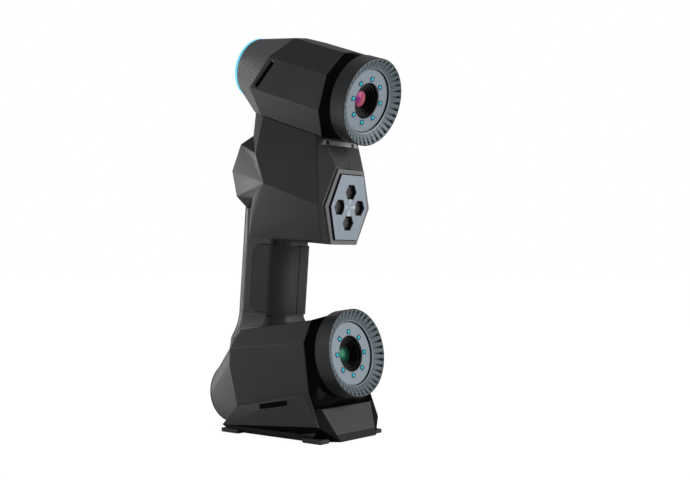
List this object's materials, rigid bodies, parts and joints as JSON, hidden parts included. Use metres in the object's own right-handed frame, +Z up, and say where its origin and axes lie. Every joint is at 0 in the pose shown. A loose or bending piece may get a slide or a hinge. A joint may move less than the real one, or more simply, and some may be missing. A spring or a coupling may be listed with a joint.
{
  "type": "handheld 3d scanner in dock",
  "caption": "Handheld two-camera laser scanner with ringed lenses, hexagonal laser window, keypad and grip, standing in a faceted dock.",
  "frame": {"origin": "middle of the footprint on the table, under the dock's feet", "axes": "+Z up, lenses face -Y, +X to the scanner's own left, x = 0 is the plane of symmetry"},
  "size_m": [0.0764, 0.1604, 0.311],
  "materials": {
    "dock_base": "matt",
    "dock": "fine matt moulded",
    "pads": "matt",
    "feet": "matt",
    "bracket": "satin grey",
    "screws": "blackened",
    "housing": "fine matt moulded",
    "laser_frame": "satin grey",
    "laser_plate": "satin pale",
    "laser_glass": "dark",
    "brass": "turned",
    "chassis": "cast",
    "board": "solder resist",
    "loom": "ribbon",
    "keypad": "gloss black",
    "scan_key": "matt",
    "keys": "matt",
    "grip": "soft touch",
    "status_light": "translucent",
    "socket": "satin",
    "bezel": "gloss black",
    "ring": "dark satin",
    "light_plate": "satin pale",
    "lamp": "clear",
    "barrel": "black",
    "lens_upper": "coated magenta",
    "module": "black",
    "rear_cover": "finely ribbed",
    "lens_lower": "coated green",
    "rear_cover_plain": "fine matt"
  },
  "bodies": {
    "dock": {"dock_base": "dock_base", "dock_left_panel": "dock", "dock_right_panel": "dock", "dock_front_panel": "dock", "cradle_pads": "pads", "dock_feet": "feet"},
    "scanner": {"bracket_plate": "bracket", "bracket_screws": "screws", "body_left_shell": "housing", "body_right_shell": "housing", "laser_frame": "laser_frame", "laser_plate": "laser_plate", "laser_windows": "laser_glass", "laser_modules": "brass", "laser_holder": "chassis", "main_board": "board", "chassis_spine": "chassis", "wiring_loom": "loom", "keypad_plate": "keypad", "keypad_board": "board", "handle_left_shell": "housing", "handle_right_shell": "housing", "grip_left": "grip", "grip_right": "grip", "housing_screws": "screws", "status_light_ring": "status_light", "upper_end_cap": "housing", "lower_end_cap": "housing", "cable_socket": "socket", "upper_head_housing": "housing", "upper_bezel": "bezel", "upper_lens_ring": "ring", "upper_light_plate": "light_plate", "upper_light_windows": "lamp", "upper_light_board": "board", "upper_lens_barrel": "barrel", "upper_front_lens": "lens_upper", "upper_camera_module": "module", "upper_rear_cover": "rear_cover", "lower_head_housing": "housing", "lower_bezel": "bezel", "lower_lens_ring": "ring", "lower_light_plate": "light_plate", "lower_light_windows": "lamp", "lower_light_board": "board", "lower_lens_barrel": "barrel", "lower_front_lens": "lens_lower", "lower_camera_module": "module", "lower_rear_cover": "rear_cover_plain"},
    "scan_key": {"scan_key": "scan_key"},
    "up_key": {"up_key": "keys"},
    "down_key": {"down_key": "keys"},
    "left_key": {"left_key": "keys"},
    "right_key": {"right_key": "keys"}
  },
  "joints": [
    {"name": "dock_lift", "type": "slide", "parent": "dock", "child": "scanner", "axis": [0, 0, 1], "range_m": [0, 0.06]},
    {"name": "scan_key_press", "type": "slide", "parent": "scanner", "child": "scan_key", "axis": [0, -0.9084, -0.4181], "range_m": [0, 0.0008], "stiffness_N_per_m": 300, "springref_m": -0.001},
    {"name": "up_key_press", "type": "slide", "parent": "scanner", "child": "up_key", "axis": [0, -0.9084, -0.4181], "range_m": [0, 0.0008], "stiffness_N_per_m": 300, "springref_m": -0.001},
    {"name": "down_key_press", "type": "slide", "parent": "scanner", "child": "down_key", "axis": [0, -0.9084, -0.4181], "range_m": [0, 0.0008], "stiffness_N_per_m": 300, "springref_m": -0.001},
    {"name": "left_key_press", "type": "slide", "parent": "scanner", "child": "left_key", "axis": [0, -0.9084, -0.4181], "range_m": [0, 0.0008], "stiffness_N_per_m": 300, "springref_m": -0.001},
    {"name": "right_key_press", "type": "slide", "parent": "scanner", "child": "right_key", "axis": [0, -0.9084, -0.4181], "range_m": [0, 0.0008], "stiffness_N_per_m": 300, "springref_m": -0.001}
  ]
}
